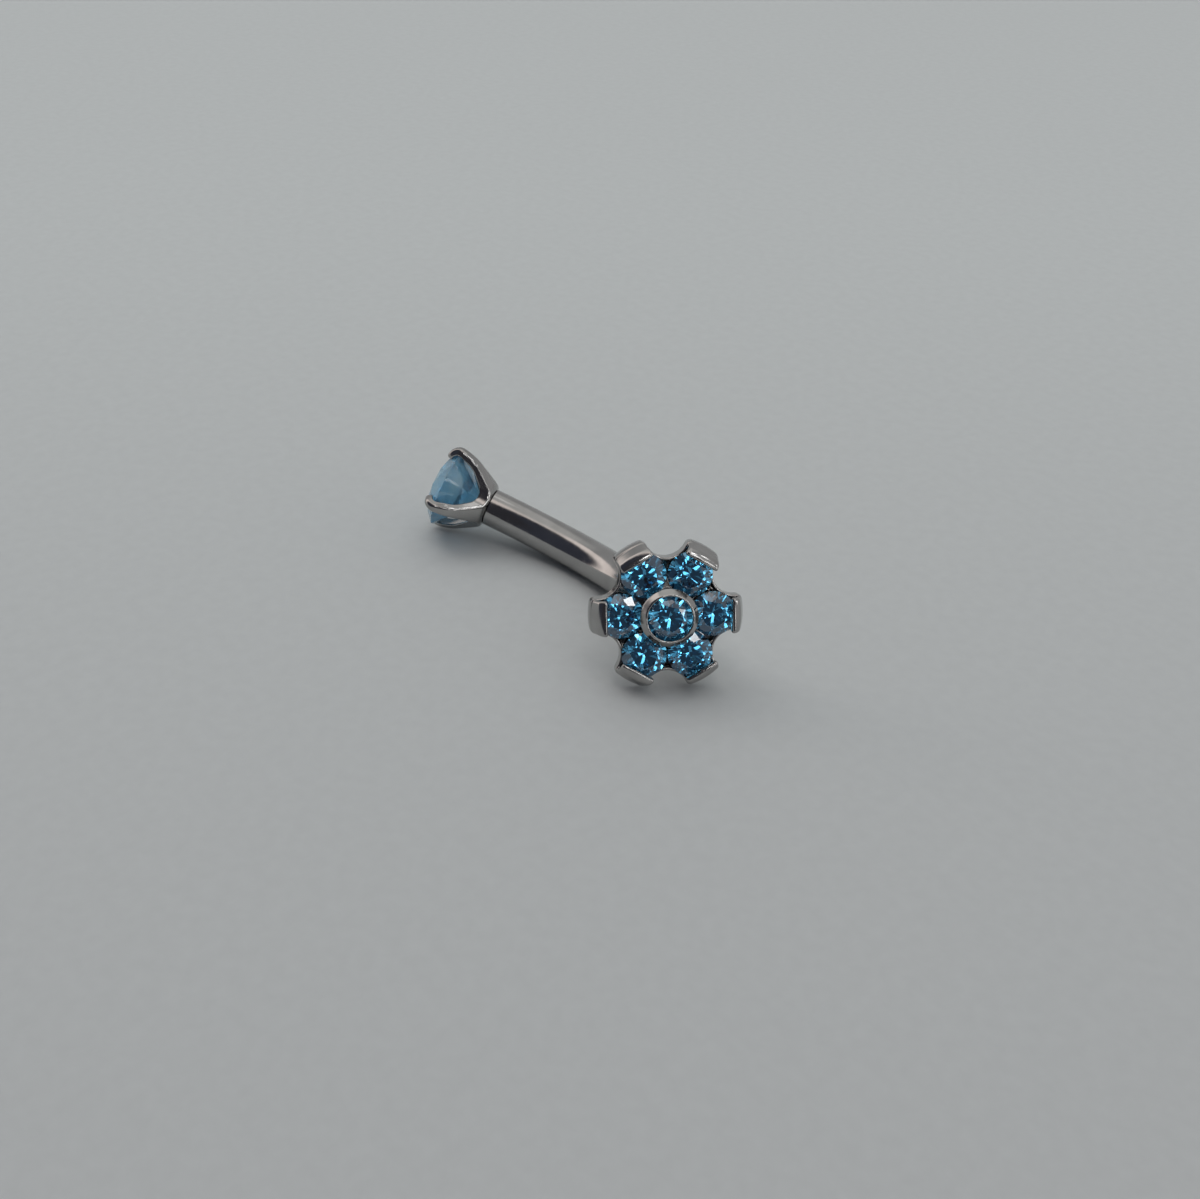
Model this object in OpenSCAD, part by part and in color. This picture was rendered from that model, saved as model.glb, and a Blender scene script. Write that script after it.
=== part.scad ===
// Curved barbell: a short bent bar with a seven-stone flower at one end and a round stone in
// four curled prongs at the other. It lies on a flat surface, as it comes to rest by itself.
// Millimetres. The surface is z = 0, and +X runs along the bar's chord towards the flower.

/* [Bar] */
// Diameter of the round bar, 14 gauge
bar_d = 1.6; // [1.4:0.1:2]
// Radius of the bar's centre line
bend_r = 8.9; // [8:0.1:12]
// Angle that the bar turns through
bend_angle = 77; // [60:1:90]
// Diameter of the hidden post behind each end
post_d = 0.7; // [0.5:0.05:0.8]
// Length of each hidden post
post_l = 2; // [1:0.1:2.2]

/* [Flower end] */
// Diameter of the seven flower stones
petal_d = 1.7; // [1.5:0.05:1.7]
// Distance from the flower's axis to each petal stone's axis
petal_ring_r = 1.74; // [1.74:0.01:1.8]
// Distance from the axis to the round outer face of a claw
claw_r = 2.93; // [2.85:0.01:3]
// Radius of the scallop between two claws
notch_r = 0.82; // [0.7:0.01:0.85]
// Distance from the axis to the middle of each scallop
notch_ring_r = 2.97; // [2.95:0.01:3.1]
// Height at which the cup's cone meets the claws' outer faces
claw_back_z = 0.4; // [0.3:0.01:0.5]
// Height at which the claws start to lean inwards
claw_bend_z = 0.78; // [0.7:0.01:0.85]
// Height at which their lean grows steeper
claw_brow_z = 1.14; // [1.1:0.01:1.2]
// Distance from the axis to that brow
claw_brow_r = 2.79; // [2.75:0.01:2.85]
// Height of the claw tips
claw_tip_z = 1.48; // [1.4:0.01:1.6]
// Distance from the axis to the claw tips
claw_tip_r = 2.41; // [2.38:0.01:2.5]
// Height of the cup's front face
deck_z = 0.92; // [0.85:0.01:0.95]
// Height of the bezel's rim
bezel_z = 1.88; // [1.8:0.01:2]
// Outer radius of the bezel's wall
bezel_r = 1.03; // [1:0.01:1.1]
// Turn of the flower about its own axis
flower_spin = 116; // [0:1:360]

/* [Gem end] */
// Diameter of the round stone
gem_d = 3.5; // [3:0.1:3.5]
// Largest radius over the prongs
basket_r = 2.07; // [2.07:0.01:2.2]
// Height at which the prongs stop spreading and stand upright
wall_z = 1.5; // [1.4:0.01:1.6]
// Height at which their curl over the stone starts
basket_z = 1.8; // [1.75:0.01:1.85]
// Radius of the base that meets the bar
base_r = 0.85; // [0.8:0.01:0.9]
// Radius of the shoulder just above it, where the prongs start
foot_r = 1; // [0.95:0.01:1.05]
// Thickness of the prongs beside the stone's edge
prong_t = 0.27; // [0.2:0.01:0.27]
// Thickness of the prongs at the shoulder
prong_foot_t = 0.42; // [0.3:0.01:0.45]
// Width of a prong where it leaves the base
prong_base_w = 1.2; // [1:0.05:1.3]
// Width of a prong's tip
prong_tip_w = 0.4; // [0.3:0.05:0.6]
// Radius of the curl that brings a prong over the stone
curl_r = 0.64; // [0.6:0.01:0.66]
// Turn of the prongs about their own axis
gem_spin = 151.5; // [0:0.5:360]

/* [Stone cut] */
// Table width as a part of the stone's diameter
table_ratio = 0.57; // [0.5:0.01:0.65]
// Angle of the crown
crown_angle = 34.5; // [30:0.5:36]
// Angle of the pavilion
pavilion_angle = 41; // [39:0.5:42]
// Thickness of the girdle
girdle_t = 0.035; // [0.02:0.005:0.05]

/* [Lying position] */
// Turn of the arc about the chord, so that its belly meets the surface
rest_roll = -125; // [-180:0.1:180]
// Tilt of the chord from one end to the other
rest_tip = -4.4; // [-20:0.1:20]
// Shift along the chord that centres the whole
rest_x = 0.2; // [-5:0.01:5]
// Shift across the chord that centres the whole
rest_y = 1.89; // [-5:0.01:5]

/* [Hidden] */
$fn = 96;

petals = 6;
petal_step = 360 / petals;
prongs = 4;

// Clearances
seam = 0.03;
stone_gap = 0.03;
post_gap = 0.03;

// Cup, claws and bezel
cup_back_r = 1.2;
claw_in_r = petal_ring_r + petal_d / 2 + stone_gap;
lip_gap = 0.05;
lip_rise = 0.14;
claw_lip_r = 2.38;
cut_past = 0.5;
petal_girdle_z = 0.98;
stem_clear = 0.04;
stem_r = petal_ring_r - petal_d / 2 - stem_clear;
stem_z = 1.12;
flare_r = 1;
flare_z = 1.3;
bezel_edge = 0.07;
bezel_lip = 0.01;
bezel_lip_r = petal_d / 2 - bezel_lip;
centre_girdle_z = 1.62;

// Base and prongs
base_h = 0.16;
foot_z = 0.08;
foot_in_r = foot_r - prong_foot_t * norm([basket_r - foot_r, wall_z - foot_z]) / (wall_z - foot_z);
basket_in_r = basket_r - prong_t;
curl_x = basket_r - curl_r;
prong_taper = 2.5;
prong_levels = 12;
gem_girdle_z = 1.92;

// Height that sets the lowest point of the bent bar on the surface
belly_drop = bend_r * sqrt(1 - pow(cos(rest_tip) * sin(rest_roll), 2)) + bar_d / 2;
rest_lift = belly_drop + bend_r * cos(rest_tip) * cos(rest_roll);

metal = "#8d8a86";
deep_blue = "#1f6f9f";
light_blue = "#7fb6d6";

// From the bar's own frame, arc in XZ with its middle at the origin, to where it lies
module at_rest() {
    translate([rest_x, rest_y, rest_lift])
        rotate([rest_roll, rest_tip, 0])
            children();
}

// From an end's own frame, z = 0 at the bar's end face and +Z outwards, to the bar's frame
module bar_end(side) {
    translate([0, 0, -bend_r])
        rotate([0, side * bend_angle / 2, 0])
            translate([0, 0, bend_r])
                rotate([side * 90, 0, 90])
                    children();
}

module flower_end() {
    at_rest() bar_end(1) rotate(flower_spin) translate([0, 0, seam]) children();
}

module gem_end() {
    at_rest() bar_end(-1) rotate(gem_spin) translate([0, 0, seam]) children();
}

// Half outline of a round brilliant about its axis, z = 0 at the girdle's lower edge,
// grown outwards by gap on every face
function stone_outline(d, gap = 0) =
    let(
        r = d / 2,
        depth = r * tan(pavilion_angle),
        crown = r * (1 - table_ratio) * tan(crown_angle),
        table_r = r * table_ratio + gap * (1 - cos(crown_angle)) / sin(crown_angle),
        low = gap * (1 - sin(pavilion_angle)) / cos(pavilion_angle),
        high = gap * (1 - sin(crown_angle)) / cos(crown_angle)
    )
    [
        [0, -depth - gap / cos(pavilion_angle)],
        [r + gap, -low],
        [r + gap, girdle_t + high],
        [table_r, girdle_t + crown + gap],
        [0, girdle_t + crown + gap]
    ];

module stone(d, gap = 0) {
    rotate_extrude() polygon(stone_outline(d, gap));
}

// Post that the bar's end hides, from the back of an end piece
module post() {
    translate([0, 0, -post_l]) cylinder(d = post_d, h = post_l + base_h / 2);
}

module bar() {
    color(metal) at_rest() difference() {
        translate([0, 0, -bend_r])
            rotate([90, 0, 0])
                rotate_extrude(angle = bend_angle, start = 90 - bend_angle / 2)
                    translate([bend_r, 0]) circle(d = bar_d);
        for (side = [-1, 1])
            bar_end(side)
                translate([0, 0, -post_l - post_gap])
                    cylinder(d = post_d + 2 * post_gap, h = post_l + cut_past);
    }
}

// A disc with a round scallop between each two claws
module flower_outline() {
    difference() {
        circle(r = claw_r);
        for (k = [0:petals - 1])
            rotate(petal_step * (k + 0.5)) translate([notch_ring_r, 0]) circle(r = notch_r);
    }
}

// A shape drawn in radius and height, as wide as given, standing on each claw's middle line
module on_claws(wide) {
    for (k = [0:petals - 1])
        rotate(petal_step * k)
            rotate([90, 0, 0])
                linear_extrude(wide, center = true)
                    children();
}

// Cup with a coned back, up to the front face under the stones' edges
module cup() {
    intersection() {
        linear_extrude(deck_z) flower_outline();
        rotate_extrude()
            polygon([
                [0, 0],
                [cup_back_r, 0],
                [claw_r, claw_back_z],
                [claw_r + cut_past, claw_back_z],
                [claw_r + cut_past, deck_z],
                [0, deck_z]
            ]);
    }
}

// Upright claws with a lip over each petal stone's crown
module claws() {
    intersection() {
        linear_extrude(claw_tip_z) flower_outline();
        on_claws(2 * notch_r)
            polygon([
                [claw_in_r, claw_back_z],
                [claw_r + cut_past, claw_back_z],
                [claw_r + cut_past, claw_tip_z],
                [claw_tip_r, claw_tip_z],
                [claw_lip_r, petal_girdle_z + girdle_t + lip_gap + lip_rise],
                [claw_in_r, petal_girdle_z + girdle_t + lip_gap]
            ]);
    }
}

// What the inward lean takes off the claws' outer faces
module claw_lean() {
    rotate_extrude()
        polygon([
            [claw_r, claw_bend_z],
            [claw_r + cut_past, claw_bend_z],
            [claw_r + cut_past, claw_tip_z + cut_past],
            [claw_tip_r, claw_tip_z + cut_past],
            [claw_tip_r, claw_tip_z],
            [claw_brow_r, claw_brow_z]
        ]);
}

// Solid stem and flared cup that raise the centre stone over the petals
module bezel() {
    rotate_extrude()
        polygon([
            [0, claw_bend_z],
            [stem_r, claw_bend_z],
            [stem_r, stem_z],
            [flare_r, flare_z],
            [bezel_r, bezel_z - bezel_edge],
            [bezel_r - bezel_edge, bezel_z],
            [0, bezel_z]
        ]);
}

module flower_setting() {
    color(metal) flower_end() {
        difference() {
            union() {
                cup();
                claws();
                bezel();
            }
            claw_lean();
            for (k = [0:petals - 1])
                rotate(petal_step * k)
                    translate([petal_ring_r, 0, petal_girdle_z])
                        stone(petal_d, stone_gap);
            translate([0, 0, centre_girdle_z]) stone(petal_d, stone_gap);
            translate([0, 0, centre_girdle_z]) cylinder(r = bezel_lip_r, h = bezel_z);
        }
        post();
    }
}

module petal_stone(k) {
    color(deep_blue) flower_end()
        rotate(petal_step * (k - 1))
            translate([petal_ring_r, 0, petal_girdle_z])
                stone(petal_d);
}

module centre_stone() {
    color(deep_blue) flower_end() translate([0, 0, centre_girdle_z]) stone(petal_d);
}

// Half section of the basket that the prongs are cut from: a shoulder, a straight cone, an
// upright wall beside the stone and a curl inwards
module basket_section() {
    difference() {
        union() {
            polygon([
                [0, 0],
                [base_r, 0],
                [foot_r, foot_z],
                [basket_r, wall_z],
                [basket_r, basket_z],
                [0, basket_z]
            ]);
            intersection() {
                translate([curl_x, basket_z]) circle(r = curl_r);
                translate([curl_x, 0]) square(basket_z + curl_r);
            }
        }
        polygon([
            [0, foot_z],
            [foot_in_r, foot_z],
            [basket_in_r, wall_z],
            [basket_in_r, basket_z],
            [0, basket_z]
        ]);
        translate([curl_x, basket_z]) circle(r = curl_r - prong_t);
    }
}

// A prong's half width falls quickly above the base and then slowly to the tip
function prong_half(z) =
    let(rest = 1 - z / (basket_z + curl_r))
    prong_tip_w / 2 + (prong_base_w - prong_tip_w) / 2 * pow(rest, prong_taper);

module prong_outline() {
    levels = [for (i = [0:prong_levels]) (basket_z + curl_r) * i / prong_levels];
    polygon(concat(
        [for (z = levels) [prong_half(z), z]],
        [for (i = [prong_levels:-1:0]) [-prong_half(levels[i]), levels[i]]]
    ));
}

module gem_setting() {
    color(metal) gem_end() {
        difference() {
            intersection() {
                rotate_extrude() basket_section();
                for (k = [0:prongs - 1])
                    rotate(360 / prongs * k)
                        rotate([90, 0, 90])
                            linear_extrude(basket_r + cut_past) prong_outline();
            }
            translate([0, 0, gem_girdle_z]) stone(gem_d, stone_gap);
        }
        cylinder(r = base_r, h = base_h);
        post();
    }
}

module gem_stone() {
    color(light_blue) gem_end() translate([0, 0, gem_girdle_z]) stone(gem_d);
}

bar();
flower_setting();
for (k = [1:petals]) {
    petal_stone(k);
}
centre_stone();
gem_setting();
gem_stone();
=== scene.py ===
import math

import bmesh
import bpy
import numpy as np
from mathutils import Matrix, Vector

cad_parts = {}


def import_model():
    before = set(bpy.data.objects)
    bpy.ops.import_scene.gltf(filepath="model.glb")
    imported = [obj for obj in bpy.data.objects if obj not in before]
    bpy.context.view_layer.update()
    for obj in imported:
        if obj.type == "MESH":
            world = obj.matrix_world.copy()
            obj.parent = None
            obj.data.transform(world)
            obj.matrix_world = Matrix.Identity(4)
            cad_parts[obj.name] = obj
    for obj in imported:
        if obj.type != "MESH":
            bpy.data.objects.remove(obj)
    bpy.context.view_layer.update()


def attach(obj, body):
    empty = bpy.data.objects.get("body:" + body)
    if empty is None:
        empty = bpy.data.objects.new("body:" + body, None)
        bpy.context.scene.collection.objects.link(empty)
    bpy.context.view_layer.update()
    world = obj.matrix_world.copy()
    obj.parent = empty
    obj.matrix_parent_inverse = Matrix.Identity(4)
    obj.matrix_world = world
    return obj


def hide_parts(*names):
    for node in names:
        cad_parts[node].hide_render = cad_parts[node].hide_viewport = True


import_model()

# Sizes are in millimetres, in the frame of one end or of the bar, and become metres at the end
MM = 0.001

# Bar
BAR_R = 0.8
BEND_R = 8.9
BEND_ANGLE = 77
END_CHAMFER = 0.03
POST_R = 0.35
POST_L = 2.0
POST_GAP = 0.03
# Height up to which each post reaches into its setting
FLOWER_POST_TOP = 0.2
GEM_POST_TOP = 0.1
SEAM = 0.03
BAR_RINGS = 200
BAR_SIDES = 96

# Where the jewel lies, with angles in degrees
REST_ROLL = -125
REST_TIP = -4.4
REST_X = 0.2
REST_Y = 1.89
FLOWER_SPIN = 116
GEM_SPIN = 151.5

# Flower: scalloped cup, claws and bezel. A pair is a distance from the axis and a height
PETALS = 6
PETAL_D = 1.7
PETAL_RING_R = 1.74
PETAL_GIRDLE_Z = 0.98
CLAW_R = 2.93
CLAW_HALF = 0.69
CLAW_CORNER = 0.22
CLAW_SIDE_EDGE = 0.1
CLAW_BEVEL = 0.06
CLAW_ROUND = 0.1
CLAW_BACK_Z = 0.4
CLAW_BEND_Z = 0.76
CLAW_BROW = (2.66, 1.37)
CLAW_TIP = (2.35, 1.48)
CLAW_IN_R = 2.62
CLAW_TOP = (2.38, 1.47)
CLAW_LIP = (2.32, 1.235)
CLAW_UNDER_Z = 1.065
# How far the claws' tips are pressed to one side
CLAW_SWAY = (0.08, -0.06)
CUP_BACK_R = 1.2
DECK_Z = 0.92
RIM_W = 0.11
RIM_CORNER = 0.22
POCKET_Z = 0.35
# Metal between the pockets and the cup's back, and the column left under each petal stone
POCKET_WALL = 0.16
SEAT_R = 0.76
NOTCH_R = 0.82
NOTCH_RING_R = 2.97
BEZEL_Z = 1.88
BEZEL_EDGE = 0.04
BEZEL_LIP_R = 0.84
BEZEL_TOP_R = 0.93
FLARE = (1.07, 1.42)
SHOULDER = (1.1, 1.6)
STEM = (0.85, 1.12)
CENTRE_GIRDLE_Z = 1.62
STONE_GAP = 0.03

# Gem: base, four prongs and one large stone
PRONGS = 4
GEM_D = 3.5
GEM_GIRDLE_Z = 1.92
BASKET_R = 2.07
WALL_Z = 1.5
BASKET_Z = 1.8
BASKET_BEND_R = 0.4
BASE_R = 0.85
BASE_H = 0.16
FOOT_R = 1.0
FOOT_Z = 0.08
PRONG_T = 0.27
PRONG_FOOT_T = 0.42
PRONG_BASE_W = 1.2
PRONG_TIP_W = 0.4
PRONG_TAPER = 2.5
PRONG_EDGE = 0.09
PRONG_WEB_R = 0.5
PRONG_DRAFT = 26
CURL_R = 0.64

# Round brilliant cut
TABLE_RATIO = 0.57
CROWN_ANGLE = 34.5
PAVILION_ANGLE = 41
GIRDLE_T = 0.035
# How far the star facets reach outwards, and where the lower facets part from the middle
STAR_REACH = 0.52
SPLIT_REACH = 0.24
BLANK_SIDES = 64
# Degrees from one main facet to the next
FACET_STEP = 45

# How each stone is turned round its own axis
PETAL_SPIN = 10
PETAL_SPIN_STEP = 17
CENTRE_SPIN = 8
GEM_STONE_SPIN = 22.5

# Roundness of the settings' edges and inner corners
EDGE_R = 0.05
CREASE_R = EDGE_R * 0.6
SOFT_EDGE = 0.03
FINE_EDGE = 0.02
SHARP_EDGE = 0.01
BEZEL_LIP_EDGE = 0.035

# Cell sizes of the grids that the two settings are meshed on
FLOWER_GRID = 0.039
GEM_GRID = 0.03
# Room round a setting in its grid: sideways for the flower, and elsewhere
SWAY_MARGIN = 0.15
GRID_MARGIN = 0.1


def shift(x, y, z):
    return Matrix.Translation((x, y, z))


def turn(angle, axis):
    return Matrix.Rotation(math.radians(angle), 4, axis)


def rest_lift():
    """Height of the bar's middle with its belly on the surface."""
    lean = math.cos(math.radians(REST_TIP))
    roll = math.radians(REST_ROLL)
    across = lean * math.sin(roll)
    return BEND_R * math.sqrt(1 - across ** 2) + BAR_R + BEND_R * lean * math.cos(roll)


AT_REST = shift(REST_X, REST_Y, rest_lift()) @ turn(REST_TIP, "Y") @ turn(REST_ROLL, "X")


def bar_end(side):
    """From an end's own frame, +Z outwards from the bar's end face, to the surface's frame."""
    bend = shift(0, 0, -BEND_R) @ turn(side * BEND_ANGLE / 2, "Y") @ shift(0, 0, BEND_R)
    return AT_REST @ bend @ turn(90, "Z") @ turn(side * 90, "X")


FLOWER_END = bar_end(1) @ turn(FLOWER_SPIN, "Z") @ shift(0, 0, SEAM)
GEM_END = bar_end(-1) @ turn(GEM_SPIN, "Z") @ shift(0, 0, SEAM)


def new_piece(name, points, faces, place, smooth_angle=None):
    """An object from points in millimetres, moved to its place in metres."""
    mesh = bpy.data.meshes.new(name)
    mesh.from_pydata([tuple(p) for p in points], [], [tuple(f) for f in faces])
    mesh.transform(Matrix.Scale(MM, 4) @ place)
    tidy = bmesh.new()
    tidy.from_mesh(mesh)
    bmesh.ops.recalc_face_normals(tidy, faces=tidy.faces)
    tidy.to_mesh(mesh)
    tidy.free()
    if smooth_angle is not None:
        mesh.shade_smooth()
        mesh.set_sharp_from_angle(angle=math.radians(smooth_angle))
    piece = bpy.data.objects.new(name, mesh)
    bpy.context.scene.collection.objects.link(piece)
    return piece


def finish_piece(piece, node, material):
    piece.data.materials.append(material)
    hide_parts(node)
    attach(piece, "root")


# Bar

def bar_profile():
    """Rings of the bar's outside from one end to the other: angle along the arc and radius."""
    half = math.radians(BEND_ANGLE / 2)
    chamfer = END_CHAMFER / BEND_R
    angles = np.linspace(-half + chamfer, half - chamfer, BAR_RINGS)
    rings = [(angle, BAR_R) for angle in angles]
    return [(-half, BAR_R - END_CHAMFER)] + rings + [(half, BAR_R - END_CHAMFER)]


def arc_frame(angle):
    """The bar's cross section at an angle along its arc, in the bar's own frame."""
    return shift(0, 0, -BEND_R) @ turn(math.degrees(angle), "Y") @ shift(0, 0, BEND_R)


def circle_points(radius, sides):
    steps = [2 * math.pi * i / sides for i in range(sides)]
    return [Vector((0, radius * math.cos(a), radius * math.sin(a))) for a in steps]


def bar():
    half = math.radians(BEND_ANGLE / 2)
    bore = POST_R + POST_GAP
    depth = POST_L + POST_GAP
    first, last = arc_frame(-half), arc_frame(half)
    loops = [(first @ shift(depth, 0, 0), bore), (first, bore)]
    loops += [(arc_frame(angle), radius) for angle, radius in bar_profile()]
    loops += [(last, bore), (last @ shift(-depth, 0, 0), bore)]
    points = [where @ p for where, radius in loops for p in circle_points(radius, BAR_SIDES)]
    faces = []
    for row in range(len(loops) - 1):
        for i in range(BAR_SIDES):
            j = (i + 1) % BAR_SIDES
            a, b = row * BAR_SIDES, (row + 1) * BAR_SIDES
            faces.append((a + i, a + j, b + j, b + i))
    faces.append(tuple(range(BAR_SIDES)))
    faces.append(tuple(range((len(loops) - 1) * BAR_SIDES, len(loops) * BAR_SIDES)))
    return new_piece("curved_bar", points, faces, AT_REST, smooth_angle=30)


# Shapes given by a distance to their surface, below zero inside

def both(a, b, edge):
    """Where two shapes overlap, with a rounded edge."""
    corner = np.hypot(np.maximum(a + edge, 0), np.maximum(b + edge, 0))
    return np.minimum(np.maximum(a, b), -edge) + corner


def either(a, b, fillet):
    """Two shapes joined, with a rounded inner corner."""
    return -both(-a, -b, fillet)


def less(a, b, edge):
    """The first shape without the second."""
    return both(a, -b, edge)


def polygon_distance(x, y, corners):
    """Distance to a closed outline, below zero inside."""
    nearest = np.full(x.shape, np.inf)
    inside = np.zeros(x.shape, bool)
    for (x0, y0), (x1, y1) in zip(corners, corners[1:] + corners[:1]):
        ex, ey = x1 - x0, y1 - y0
        along = np.clip(((x - x0) * ex + (y - y0) * ey) / (ex * ex + ey * ey), 0, 1)
        nearest = np.minimum(nearest, np.hypot(x - x0 - along * ex, y - y0 - along * ey))
        if y0 != y1:
            crossing = (y0 > y) != (y1 > y)
            inside ^= crossing & (x < x0 + (y - y0) * ex / ey)
    return np.where(inside, -nearest, nearest)


def above_line(x, y, start, end):
    """Distance to the left of a line from start to end."""
    ex, ey = end[0] - start[0], end[1] - start[1]
    return ((y - start[1]) * ex - (x - start[0]) * ey) / math.hypot(ex, ey)


def folded(x, y, count):
    """Coordinates in the nearest of count even sectors, with the second one made positive."""
    step = 2 * math.pi / count
    angle = np.arctan2(y, x)
    angle = np.abs((angle + step / 2) % step - step / 2)
    radius = np.hypot(x, y)
    return radius * np.cos(angle), radius * np.sin(angle)


def stone_outline(diameter):
    """Half section of a brilliant and its clearance, for the hollow that holds it."""
    r = diameter / 2
    crown = math.radians(CROWN_ANGLE)
    pavilion = math.radians(PAVILION_ANGLE)
    gap = STONE_GAP
    low = gap * (1 - math.sin(pavilion)) / math.cos(pavilion)
    high = gap * (1 - math.sin(crown)) / math.cos(crown)
    table = r * TABLE_RATIO + gap * (1 - math.cos(crown)) / math.sin(crown)
    top = GIRDLE_T + r * (1 - TABLE_RATIO) * math.tan(crown) + gap
    return [
        (-r, -r * math.tan(pavilion) - gap / math.cos(pavilion)),
        (0, -r * math.tan(pavilion) - gap / math.cos(pavilion)),
        (r + gap, -low),
        (r + gap, GIRDLE_T + high),
        (table, top),
        (-r, top),
    ]


def bevelled(a, b, bevel, edge):
    """Where two shapes overlap, with a flat bevel and soft edges."""
    return both(both(a, b, edge), (a + b + bevel) / math.sqrt(2), edge)


def stone_hollow(r, z, diameter):
    return polygon_distance(r, z, stone_outline(diameter))


def post_field(r, z, top):
    middle = (top - POST_L) / 2
    return both(r - POST_R, np.abs(z - middle) - (top + POST_L) / 2, FINE_EDGE)


def scallop_field(u, v):
    """Outside the round notch between two petals."""
    step = math.pi / PETALS
    middle = (NOTCH_RING_R * math.cos(step), NOTCH_RING_R * math.sin(step))
    return NOTCH_R - np.hypot(u - middle[0], v - middle[1])


def claw_slope(r, z):
    """Under the sloping lower face that the claws and the cup's outer edge share."""
    return -above_line(r, z, (CLAW_R, CLAW_BEND_Z), CLAW_BROW)


def claw_field(x, y, z):
    """Upright claws that lean over the petal stones, pressed a little to one side."""
    lean = np.clip((z - CLAW_BEND_Z) / (CLAW_TIP[1] - CLAW_BEND_Z), 0, 1)
    x, y = x - CLAW_SWAY[0] * lean, y - CLAW_SWAY[1] * lean
    u, v = folded(x, y, PETALS)
    r = np.hypot(x, y)
    upper = -above_line(r, z, CLAW_BROW, CLAW_TOP)
    face = both(claw_slope(r, z), upper, CLAW_ROUND)
    inner = polygon_distance(u, z, [
        (0, -1), (CLAW_IN_R, -1), (CLAW_IN_R, CLAW_UNDER_Z), CLAW_LIP, CLAW_TIP,
        (CLAW_TIP[0], 3), (0, 3),
    ])
    sides = both(v - CLAW_HALF, scallop_field(u, v), EDGE_R)
    outline = both(sides, r - CLAW_R, CLAW_CORNER)
    claw = both(face, outline, CLAW_SIDE_EDGE)
    claw = bevelled(claw, -inner, CLAW_BEVEL, CREASE_R)
    return both(claw, CLAW_BACK_Z - z, EDGE_R)


def cup_field(u, v, r, z):
    """Scalloped cup, with a rim along each scallop and deep pockets between the stones."""
    outline = both(r - CLAW_R, scallop_field(u, v), RIM_CORNER)
    cone = -above_line(r, z, (CUP_BACK_R, 0), (CLAW_R, CLAW_BACK_Z))
    back = both(cone, -z, EDGE_R)
    cup = both(both(outline, z - DECK_Z, EDGE_R), back, EDGE_R)
    cup = both(cup, claw_slope(r, z), EDGE_R)
    pocket = both(outline + RIM_W, u - CLAW_IN_R, EDGE_R)
    pocket = both(pocket, SEAT_R - np.hypot(u - PETAL_RING_R, v), SHARP_EDGE)
    pocket = both(both(pocket, STEM[0] - r, EDGE_R), POCKET_Z - z, EDGE_R)
    pocket = both(pocket, cone + POCKET_WALL, EDGE_R)
    return less(cup, pocket, CREASE_R)


def bezel_field(r, z):
    edge = BEZEL_EDGE
    return polygon_distance(r, z, [
        (-1, POCKET_Z), (STEM[0] - edge, POCKET_Z), (STEM[0] - edge, STEM[1]),
        (FLARE[0] - edge, FLARE[1]), (SHOULDER[0] - edge, SHOULDER[1]),
        (BEZEL_TOP_R - edge, BEZEL_Z - edge), (-1, BEZEL_Z - edge),
    ]) - edge


def flower_field(x, y, z):
    u, v = folded(x, y, PETALS)
    r = np.hypot(x, y)
    solid = np.minimum(cup_field(u, v, r, z), claw_field(x, y, z))
    solid = either(solid, bezel_field(r, z), SOFT_EDGE)
    petal_r = np.hypot(u - PETAL_RING_R, v)
    solid = less(solid, stone_hollow(petal_r, z - PETAL_GIRDLE_Z, PETAL_D), FINE_EDGE)
    solid = less(solid, stone_hollow(r, z - CENTRE_GIRDLE_Z, PETAL_D), FINE_EDGE)
    bore = both(r - BEZEL_LIP_R, CENTRE_GIRDLE_Z - z, SHARP_EDGE)
    solid = less(solid, bore, BEZEL_LIP_EDGE)
    return either(solid, post_field(r, z, FLOWER_POST_TOP), FINE_EDGE)


def basket_wall(r, z, foot_r, wall_r, curl_r, bend_r):
    """A cone that turns into an upright wall and then curls inwards."""
    cone = -above_line(r, z, (foot_r, FOOT_Z), (wall_r, WALL_Z))
    curl = np.hypot(r - (BASKET_R - CURL_R), z - BASKET_Z) - curl_r
    return both(cone, np.where(z < BASKET_Z, r - wall_r, curl), bend_r)


def gem_field(x, y, z):
    r = np.hypot(x, y)
    u, v = folded(x, y, PRONGS)
    spread = math.hypot(BASKET_R - FOOT_R, WALL_Z - FOOT_Z) / (WALL_Z - FOOT_Z)
    foot_in_r = FOOT_R - PRONG_FOOT_T * spread
    outer = basket_wall(r, z, FOOT_R, BASKET_R, CURL_R, BASKET_BEND_R)
    inner = basket_wall(r, z, foot_in_r, BASKET_R - PRONG_T, CURL_R - PRONG_T, BASKET_BEND_R)
    band = both(outer, -inner, SHARP_EDGE)
    top = BASKET_Z + CURL_R
    rest = np.clip(1 - z / top, 0, 1)
    half = PRONG_TIP_W / 2 + (PRONG_BASE_W - PRONG_TIP_W) / 2 * rest ** PRONG_TAPER
    half = half - (outer + PRONG_T / 2) * math.tan(math.radians(PRONG_DRAFT))
    prong = both(band, either(v - half, u - half, PRONG_WEB_R), PRONG_EDGE)
    shoulder = both(-z, -above_line(r, z, (BASE_R, 0), (FOOT_R, FOOT_Z)), SOFT_EDGE)
    prong = both(prong, shoulder, SOFT_EDGE)
    tip = np.where(z > BASKET_Z, BASKET_R - CURL_R - r, -1)
    prong = both(prong, tip, PRONG_EDGE)
    prong = less(prong, stone_hollow(r, z - GEM_GIRDLE_Z, GEM_D), FINE_EDGE)
    base = both(r - BASE_R, np.abs(z - BASE_H / 2) - BASE_H / 2, SOFT_EDGE)
    return either(either(prong, base, EDGE_R), post_field(r, z, GEM_POST_TOP), FINE_EDGE)


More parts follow.
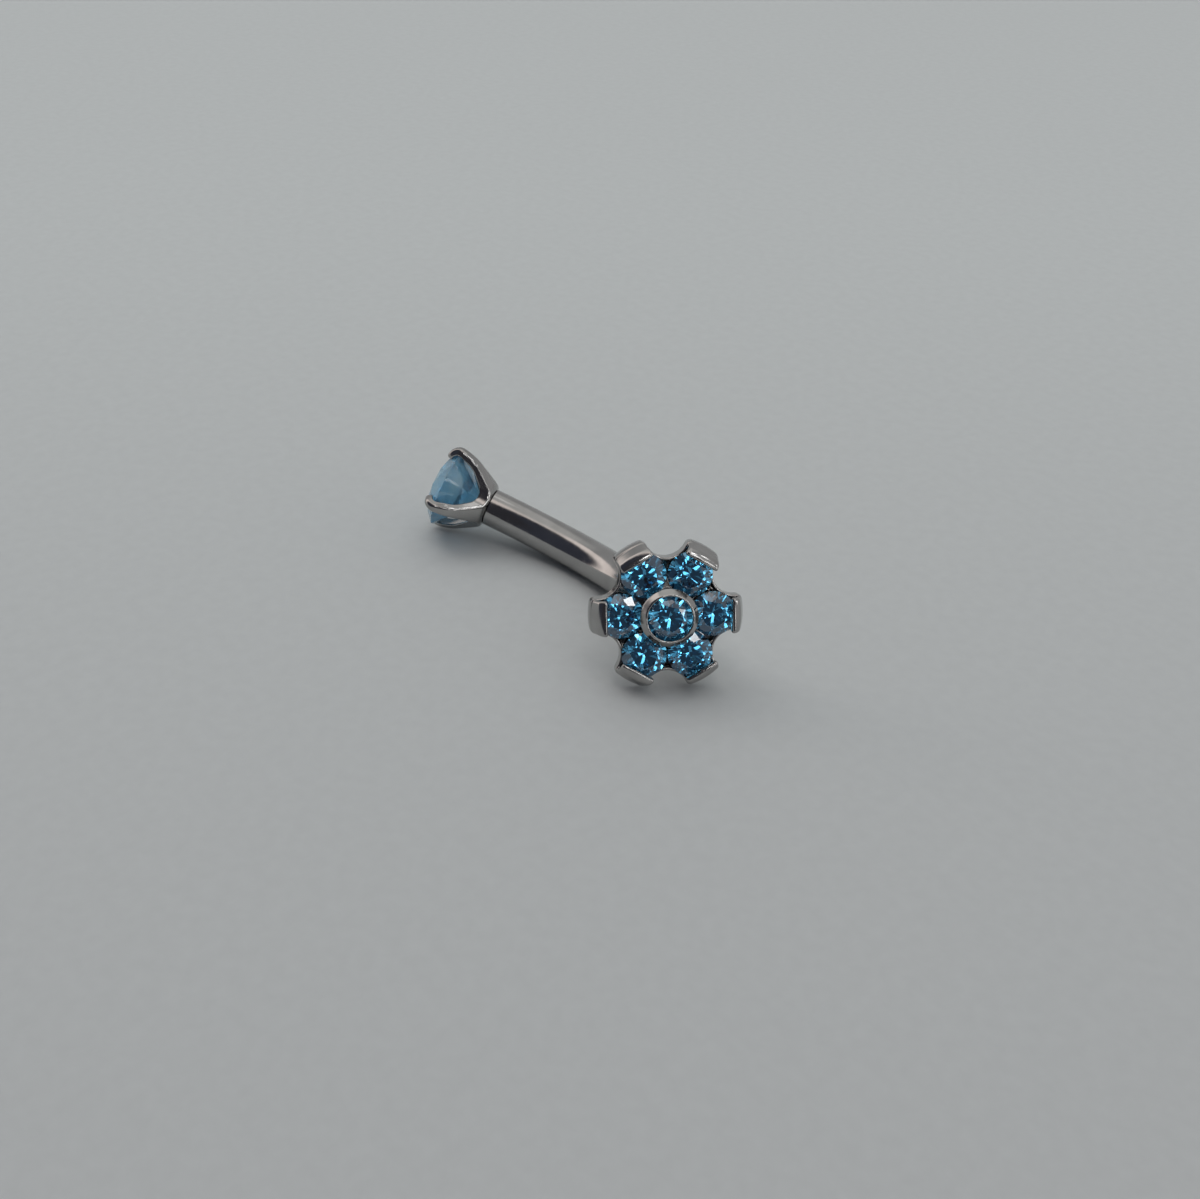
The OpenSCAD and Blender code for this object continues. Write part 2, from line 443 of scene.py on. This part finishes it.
def net_vertices(value, axes, cell):
    """One point in each grid cell that the surface crosses: the mean of its edge crossings."""
    shape = tuple(n - 1 for n in value.shape)
    total = [np.zeros(shape, np.float32) for _ in range(3)]
    count = np.zeros(shape, np.float32)
    for axis in range(3):
        others = [a for a in range(3) if a != axis]
        for da in (0, 1):
            for db in (0, 1):
                start = [slice(0, n) for n in shape]
                start[others[0]] = slice(da, da + shape[others[0]])
                start[others[1]] = slice(db, db + shape[others[1]])
                end = list(start)
                end[axis] = slice(1, 1 + shape[axis])
                v0, v1 = value[tuple(start)], value[tuple(end)]
                cross = (v0 < 0) != (v1 < 0)
                t = np.where(cross, v0 / np.where(cross, v0 - v1, 1), 0)
                total[axis] += t
                total[others[0]] += cross * da
                total[others[1]] += cross * db
                count += cross
    mixed = count > 0
    place = np.argwhere(mixed)
    inside = np.stack([t[mixed] / count[mixed] for t in total], axis=1)
    low = np.array([a[0] for a in axes])
    return mixed, low + (place + inside) * cell


def net_faces(value, mixed):
    """A quad round each grid edge that the surface crosses."""
    index = np.full(mixed.shape, -1, np.int64)
    index[mixed] = np.arange(mixed.sum())
    faces = []
    for axis in range(3):
        b, c = [a for a in range(3) if a != axis]
        start = [slice(1, n - 1) for n in value.shape]
        start[axis] = slice(0, value.shape[axis] - 1)
        end = list(start)
        end[axis] = slice(1, value.shape[axis])
        v0, v1 = value[tuple(start)], value[tuple(end)]
        where = np.argwhere((v0 < 0) != (v1 < 0))
        flip = v0[tuple(where.T)] < 0
        base = where.copy()
        base[:, b] += 1
        base[:, c] += 1
        corners = []
        for db, dc in ((-1, -1), (0, -1), (0, 0), (-1, 0)):
            cell = base.copy()
            cell[:, b] += db
            cell[:, c] += dc
            corners.append(index[tuple(cell.T)])
        quads = np.stack(corners, axis=1)
        quads[flip] = quads[flip][:, ::-1]
        faces.append(quads)
    return np.concatenate(faces)


def settle(points, field, cell, passes=4, reach=0.3, probe=0.2, least_slope=0.5):
    """Moves points onto the surface along its slope, by at most a part of a cell at a time."""
    h = probe * cell
    for _ in range(passes):
        value = field(*points.T)
        slope = np.empty_like(points)
        for axis in range(3):
            step = np.zeros(3)
            step[axis] = h
            slope[:, axis] = (field(*(points + step).T) - field(*(points - step).T)) / (2 * h)
        size = np.maximum((slope ** 2).sum(1), least_slope ** 2)
        move = -slope * (value / size)[:, None]
        length = np.linalg.norm(move, axis=1)
        move *= np.minimum(1, reach * cell / np.maximum(length, 1e-9))[:, None]
        points = points + move
    return points


def field_piece(name, field, cell, low, high, place):
    axes = [np.arange(low[i], high[i] + cell, cell) for i in range(3)]
    value = field(*np.meshgrid(*axes, indexing="ij")).astype(np.float32)
    mixed, points = net_vertices(value, axes, cell)
    points = settle(points, field, cell)
    return new_piece(name, points, net_faces(value, mixed), place, smooth_angle=60)


def flower_setting():
    reach = CLAW_R + SWAY_MARGIN
    low = (-reach, -reach, -POST_L - GRID_MARGIN)
    high = (reach, reach, BEZEL_Z + GRID_MARGIN)
    return field_piece("flower_cup", flower_field, FLOWER_GRID, low, high, FLOWER_END)


def gem_setting():
    reach = BASKET_R + GRID_MARGIN
    low = (-reach, -reach, -POST_L - GRID_MARGIN)
    high = (reach, reach, BASKET_Z + CURL_R + GRID_MARGIN)
    return field_piece("gem_basket", gem_field, GEM_GRID, low, high, GEM_END)


# Stones

def facet_plane(points):
    a, b, c = (Vector(p) for p in points)
    normal = (b - a).cross(c - a).normalized()
    if normal.dot(a) < 0:
        normal = -normal
    return a, normal


def at_angle(radius, degrees, height):
    a = math.radians(degrees)
    return Vector((radius * math.cos(a), radius * math.sin(a), height))


def brilliant_planes(radius):
    """Planes of a 57-facet brilliant, z = 0 at the girdle's lower edge."""
    slope = math.tan(math.radians(CROWN_ANGLE))
    depth = radius * math.tan(math.radians(PAVILION_ANGLE))
    table_r = radius * TABLE_RATIO
    table_z = GIRDLE_T + (radius - table_r) * slope
    planes = [(Vector((0, 0, table_z)), Vector((0, 0, 1)))]

    def on_main(point_radius, degrees, main):
        """A point on the crown's main facet at that angle."""
        flat = point_radius * math.cos(math.radians(degrees - main))
        return at_angle(point_radius, degrees, GIRDLE_T + (radius - flat) * slope)

    half_step = FACET_STEP / 2
    edge_r = table_r * math.cos(math.radians(half_step))
    star_r = edge_r + STAR_REACH * (radius - edge_r)
    for k in range(360 // FACET_STEP):
        main = FACET_STEP * k
        tip = at_angle(table_r, main, table_z)
        a = at_angle(radius, main, GIRDLE_T)
        planes.append(facet_plane((tip, a, a + at_angle(0.1, main + 90, 0))))
        star = on_main(star_r, main + half_step, main)
        next_tip = at_angle(table_r, main + FACET_STEP, table_z)
        planes.append(facet_plane((tip, next_tip, star)))
        for corner in (main, main + FACET_STEP):
            kite = at_angle(radius, corner, GIRDLE_T)
            middle = at_angle(radius, main + half_step, GIRDLE_T)
            planes.append(facet_plane((kite, middle, star)))
        culet = Vector((0, 0, -depth))
        low = at_angle(radius, main, 0)
        planes.append(facet_plane((culet, low, low + at_angle(0.1, main + 90, 0))))
        split_r = SPLIT_REACH * radius
        split_z = -depth + depth * split_r * math.cos(math.radians(half_step)) / radius
        split = at_angle(split_r, main + half_step, split_z)
        middle = at_angle(radius, main + half_step, 0)
        for corner in (main, main + FACET_STEP):
            planes.append(facet_plane((split, at_angle(radius, corner, 0), middle)))
    return planes


def brilliant(name, diameter, place, spin):
    """A round blank cut by the planes of its facets."""
    radius = diameter / 2
    cut = bmesh.new()
    bmesh.ops.create_cone(cut, cap_ends=True, segments=BLANK_SIDES, radius1=radius,
                          radius2=radius, depth=4 * radius)
    for point, normal in brilliant_planes(radius):
        geometry = cut.verts[:] + cut.edges[:] + cut.faces[:]
        result = bmesh.ops.bisect_plane(cut, geom=geometry, plane_co=point, plane_no=normal,
                                        clear_outer=True, dist=1e-6)
        edges = [e for e in result["geom_cut"] if isinstance(e, bmesh.types.BMEdge)]
        bmesh.ops.holes_fill(cut, edges=edges)
    bmesh.ops.remove_doubles(cut, verts=cut.verts, dist=1e-4)
    points = [v.co.copy() for v in cut.verts]
    faces = [[v.index for v in f.verts] for f in cut.faces]
    cut.free()
    return new_piece(name, points, faces, place @ turn(spin, "Z"))


# Materials

ZIRCONIA_IOR = 2.16
# The part of a noise's values that its colours and roughness are spread over
NOISE_LOW = 0.3
NOISE_HIGH = 0.7

# Direction away from the viewer on the surface, its colours near and far, and half the fade;
# the darker near colour is painted shade
FLOOR_AWAY = Vector((-0.798, 0.603, 0))
FLOOR_NEAR_SHADED = (0.675, 0.71, 0.72, 1)
FLOOR_FAR = (0.81, 0.865, 0.87, 1)
FLOOR_FADE = 0.05


def new_material(name):
    material = bpy.data.materials.new(name)
    material.use_nodes = True
    nodes = material.node_tree.nodes
    return material, nodes, material.node_tree.links, nodes["Principled BSDF"]


def noise_node(nodes, links, source, scale, detail):
    """Noise with its scale in waves to the metre."""
    node = nodes.new("ShaderNodeTexNoise")
    node.inputs["Scale"].default_value = scale
    node.inputs["Detail"].default_value = detail
    node.inputs["Roughness"].default_value = 0.5
    links.new(source, node.inputs["Vector"])
    return node


def ramp_node(nodes, links, source, stops):
    node = nodes.new("ShaderNodeValToRGB")
    ramp = node.color_ramp
    ramp.elements[0].position, ramp.elements[0].color = stops[0]
    ramp.elements[1].position, ramp.elements[1].color = stops[-1]
    for position, colour in stops[1:-1]:
        ramp.elements.new(position).color = colour
    links.new(source, node.inputs["Fac"])
    return node


def bump_node(nodes, links, height, shader, strength, distance):
    bump = nodes.new("ShaderNodeBump")
    bump.inputs["Strength"].default_value = strength
    bump.inputs["Distance"].default_value = distance
    links.new(height, bump.inputs["Height"])
    links.new(bump.outputs["Normal"], shader.inputs["Normal"])


def range_node(nodes, links, source, low, high, target):
    """Sends a noise to a socket, stretched between two values."""
    node = nodes.new("ShaderNodeMapRange")
    node.inputs["From Min"].default_value = NOISE_LOW
    node.inputs["From Max"].default_value = NOISE_HIGH
    node.inputs["To Min"].default_value = low
    node.inputs["To Max"].default_value = high
    links.new(source, node.inputs["Value"])
    links.new(node.outputs["Result"], target)


def metal_material():
    """Polished titanium, with faint cloudy tones, fine polish marks and a slight grain."""
    material, nodes, links, shader = new_material("polished_titanium")
    where = nodes.new("ShaderNodeTexCoord").outputs["Object"]
    shader.inputs["Metallic"].default_value = 1
    tone = noise_node(nodes, links, where, scale=900, detail=4)
    colour = ramp_node(nodes, links, tone.outputs["Fac"], [
        (NOISE_LOW, (0.355, 0.348, 0.34, 1)), (NOISE_HIGH, (0.435, 0.427, 0.418, 1))])
    links.new(colour.outputs["Color"], shader.inputs["Base Color"])
    polish = noise_node(nodes, links, where, scale=2500, detail=5)
    range_node(nodes, links, polish.outputs["Fac"], 0.08, 0.18, shader.inputs["Roughness"])
    grain = noise_node(nodes, links, where, scale=5000, detail=4)
    bump_node(nodes, links, grain.outputs["Fac"], shader, strength=0.1, distance=0.00002)
    return material


def stone_material(name, colour, density, tints, haze, clear):
    """Clear cut stone that colours light by the way it goes through, with faint clouds."""
    material, nodes, links, shader = new_material(name)
    where = nodes.new("ShaderNodeTexCoord").outputs["Object"]
    shader.inputs["Transmission Weight"].default_value = clear
    shader.inputs["IOR"].default_value = ZIRCONIA_IOR
    cloud = noise_node(nodes, links, where, scale=1200, detail=3)
    veil = ramp_node(nodes, links, cloud.outputs["Fac"], [
        (NOISE_LOW, tints[0]), (0.75, tints[1])])
    links.new(veil.outputs["Color"], shader.inputs["Base Color"])
    range_node(nodes, links, cloud.outputs["Fac"], 0.0, haze, shader.inputs["Roughness"])
    absorb = nodes.new("ShaderNodeVolumeAbsorption")
    absorb.inputs["Color"].default_value = colour
    absorb.inputs["Density"].default_value = density
    links.new(absorb.outputs["Volume"], nodes["Material Output"].inputs["Volume"])
    return material


def floor_material():
    """Pale matt board, with painted shade that makes it a little darker towards the viewer,
    and a fine grain.
    """
    material, nodes, links, shader = new_material("pale_surface")
    where = nodes.new("ShaderNodeTexCoord").outputs["Object"]
    away = nodes.new("ShaderNodeVectorMath")
    away.operation = "DOT_PRODUCT"
    away.inputs[1].default_value = FLOOR_AWAY
    links.new(where, away.inputs[0])
    # painted shade: the board fades from the lit far colour to a darker near colour
    fade = nodes.new("ShaderNodeMapRange")
    fade.interpolation_type = "SMOOTHSTEP"
    fade.inputs["From Min"].default_value = -FLOOR_FADE
    fade.inputs["From Max"].default_value = FLOOR_FADE
    links.new(away.outputs["Value"], fade.inputs["Value"])
    board = ramp_node(nodes, links, fade.outputs["Result"], [(0, FLOOR_NEAR_SHADED), (1, FLOOR_FAR)])
    fleck = noise_node(nodes, links, where, scale=1800, detail=3)
    speckle = ramp_node(nodes, links, fleck.outputs["Fac"], [
        (NOISE_LOW, (0.965, 0.965, 0.965, 1)), (NOISE_HIGH, (1, 1, 1, 1))])
    mix = nodes.new("ShaderNodeMix")
    mix.data_type = "RGBA"
    mix.blend_type = "MULTIPLY"
    mix.inputs["Factor"].default_value = 1
    links.new(board.outputs["Color"], mix.inputs["A"])
    links.new(speckle.outputs["Color"], mix.inputs["B"])
    links.new(mix.outputs["Result"], shader.inputs["Base Color"])
    shader.inputs["Roughness"].default_value = 0.7
    shader.inputs["Specular IOR Level"].default_value = 0.2
    grain = noise_node(nodes, links, where, scale=2600, detail=3)
    bump_node(nodes, links, grain.outputs["Fac"], shader, strength=0.12, distance=0.00004)
    return material


# Surface, camera and lights

FLOOR_HALF = 0.4
FLOOR_DROP = 0.000005


def floor():
    """The surface that the jewel lies on, a hair below it."""
    half = FLOOR_HALF
    mesh = bpy.data.meshes.new("floor")
    corners = [(-half, -half, 0), (half, -half, 0), (half, half, 0), (-half, half, 0)]
    mesh.from_pydata(corners, [], [(0, 1, 2, 3)])
    mesh.materials.append(floor_material())
    plane = bpy.data.objects.new("floor", mesh)
    plane.location.z = -FLOOR_DROP
    bpy.context.scene.collection.objects.link(plane)


# The camera's place in millimetres, and the picture's right and up directions
CAMERA_AT = Vector((39.144, -32.113, 35.273))
CAMERA_RIGHT = Vector((0.6394, 0.7681, 0.0328))
CAMERA_UP = Vector((-0.4578, 0.3461, 0.8190))
CAMERA_LENS = 45.0
CAMERA_SENSOR = 36


def camera():
    lens = bpy.data.cameras.new("camera")
    lens.lens = CAMERA_LENS
    lens.sensor_width = CAMERA_SENSOR
    lens.clip_start = 0.001
    lens.clip_end = 2
    view = bpy.data.objects.new("camera", lens)
    right = CAMERA_RIGHT.normalized()
    up = (CAMERA_UP - CAMERA_UP.dot(right) * right).normalized()
    back = right.cross(up)
    facing = Matrix((right, up, back)).transposed().to_4x4()
    view.matrix_world = Matrix.Translation(CAMERA_AT * MM) @ facing
    bpy.context.scene.collection.objects.link(view)
    bpy.context.scene.camera = view


# Lamps: distances and sizes in metres, power in watts, angles in degrees
SOFT_DISTANCE = 1.0
SOFT_SIZE = 0.8
SOFT_LAMPS = [
    # name, direction, power
    ("key", (-0.86, -0.10, 1.3), 0.9),
    ("fill", (0.60, -0.20, 1.0), 0.25),
]

SKY_BASE = (0.42, 0.425, 0.43, 1)
SKY_PATCHES = [
    # direction, angle where it starts, angle where it is full, colour
    ((-0.08, -0.87, 0.47), 67, 61, (1.3, 1.18, 1.12, 1)),
    ((-0.08, -0.87, 0.47), 52, 41, (0.055, 0.06, 0.08, 1)),
    ((0.65, -0.65, 0.40), 46, 34, (0.05, 0.05, 0.06, 1)),
    ((-0.25, 0.30, 0.92), 34, 16, (0.70, 0.70, 0.69, 1)),
]

SPARKLE_DISTANCE = 0.6
SPARKLE_LAMPS = [
    # direction, angle across, brightness
    ((0.95, 0.20, 0.45), 13, 2.8),
    ((0.90, 0.05, 0.65), 8, 3),
    ((0.75, -0.05, 0.75), 9, 3),
    ((0.55, 0.15, 0.85), 7, 6),
    ((0.97, -0.10, 0.15), 10, 2.4),
    ((0.99, -0.30, 0.30), 8, 2.6),
    ((0.57, 0.59, 0.57), 6, 5),
    ((0.48, 0.42, 0.77), 6, 6),
    ((0.80, -0.35, 0.60), 9, 2.4),
    ((0.60, -0.45, 0.80), 8, 6),
    ((0.78, 0.60, 0.22), 12, 2.4),
    ((0.90, 0.45, 0.25), 8, 3),
    ((0.33, 0.22, 0.92), 6, 4),
    ((-0.10, 0.34, 0.93), 12, 0.4),
]


def round_lamp(name, direction, distance, size, power):
    """A disk lamp at a distance in metres, shining towards the middle."""
    light = bpy.data.lights.new(name, "AREA")
    light.shape = "DISK"
    light.size = size
    light.energy = power
    lamp = bpy.data.objects.new(name, light)
    towards = Vector(direction).normalized()
    lamp.location = towards * distance
    lamp.rotation_euler = towards.to_track_quat("Z", "Y").to_euler()
    bpy.context.scene.collection.objects.link(lamp)
    return lamp


def soft_lights():
    """Soft lamps that light the surface and aren't mirrored in the metal."""
    for name, direction, power in SOFT_LAMPS:
        lamp = round_lamp(name, direction, SOFT_DISTANCE, SOFT_SIZE, power)
        lamp.visible_glossy = False


def sparkle_lights():
    """Small lamps that only the stones and the metal show."""
    for i, (direction, across, brightness) in enumerate(SPARKLE_LAMPS):
        size = 2 * SPARKLE_DISTANCE * math.tan(math.radians(across / 2))
        area = math.pi * (size / 2) ** 2
        power = brightness * math.pi * area
        lamp = round_lamp(f"sparkle_{i + 1}", direction, SPARKLE_DISTANCE, size, power)
        lamp.visible_diffuse = False
        lamp.visible_camera = False


def world_patch(nodes, links, direction, last, towards, wide, narrow, colour):
    """Blends a colour into the sky within an angle of a direction."""
    dot = nodes.new("ShaderNodeVectorMath")
    dot.operation = "DOT_PRODUCT"
    dot.inputs[1].default_value = Vector(towards).normalized()
    links.new(direction, dot.inputs[0])
    share = nodes.new("ShaderNodeMapRange")
    share.interpolation_type = "SMOOTHSTEP"
    share.inputs["From Min"].default_value = math.cos(math.radians(wide))
    share.inputs["From Max"].default_value = math.cos(math.radians(narrow))
    links.new(dot.outputs["Value"], share.inputs["Value"])
    mix = nodes.new("ShaderNodeMix")
    mix.data_type = "RGBA"
    links.new(share.outputs["Result"], mix.inputs["Factor"])
    links.new(last, mix.inputs["A"])
    mix.inputs["B"].default_value = colour
    return mix.outputs["Result"]


def world():
    sky = bpy.data.worlds.new("studio")
    sky.use_nodes = True
    nodes, links = sky.node_tree.nodes, sky.node_tree.links
    direction = nodes.new("ShaderNodeTexCoord").outputs["Generated"]
    base = nodes.new("ShaderNodeRGB")
    base.outputs[0].default_value = SKY_BASE
    last = base.outputs[0]
    for towards, wide, narrow, colour in SKY_PATCHES:
        last = world_patch(nodes, links, direction, last, towards, wide, narrow, colour)
    links.new(last, nodes["Background"].inputs["Color"])
    bpy.context.scene.world = sky


def build():
    metal = metal_material()
    deep_blue = stone_material(
        "deep_blue_zirconia", colour=(0.0, 0.70, 0.926, 1), density=1000,
        tints=((0.9, 0.95, 1, 1), (1, 1, 1, 1)), haze=0.012, clear=1)
    light_blue = stone_material(
        "light_blue_zirconia", colour=(0.0, 0.62, 0.96, 1), density=150,
        tints=((0.28, 0.70, 1, 1), (0.56, 0.90, 1, 1)), haze=0.05, clear=0.6)
    finish_piece(bar(), "bar", metal)
    finish_piece(flower_setting(), "flower_setting", metal)
    finish_piece(gem_setting(), "gem_setting", metal)
    for k in range(PETALS):
        sector = turn(360 / PETALS * k, "Z")
        place = FLOWER_END @ sector @ shift(PETAL_RING_R, 0, PETAL_GIRDLE_Z)
        spin = PETAL_SPIN + PETAL_SPIN_STEP * k
        stone = brilliant(f"petal_brilliant_{k + 1}", PETAL_D, place, spin)
        finish_piece(stone, f"petal_stone_{k + 1}", deep_blue)
    place = FLOWER_END @ shift(0, 0, CENTRE_GIRDLE_Z)
    stone = brilliant("centre_brilliant", PETAL_D, place, CENTRE_SPIN)
    finish_piece(stone, "centre_stone", deep_blue)
    place = GEM_END @ shift(0, 0, GEM_GIRDLE_Z)
    stone = brilliant("gem_brilliant", GEM_D, place, GEM_STONE_SPIN)
    finish_piece(stone, "gem_stone", light_blue)


camera()
world()
soft_lights()
sparkle_lights()
floor()
build()
bpy.context.scene.view_settings.view_transform = "Standard"
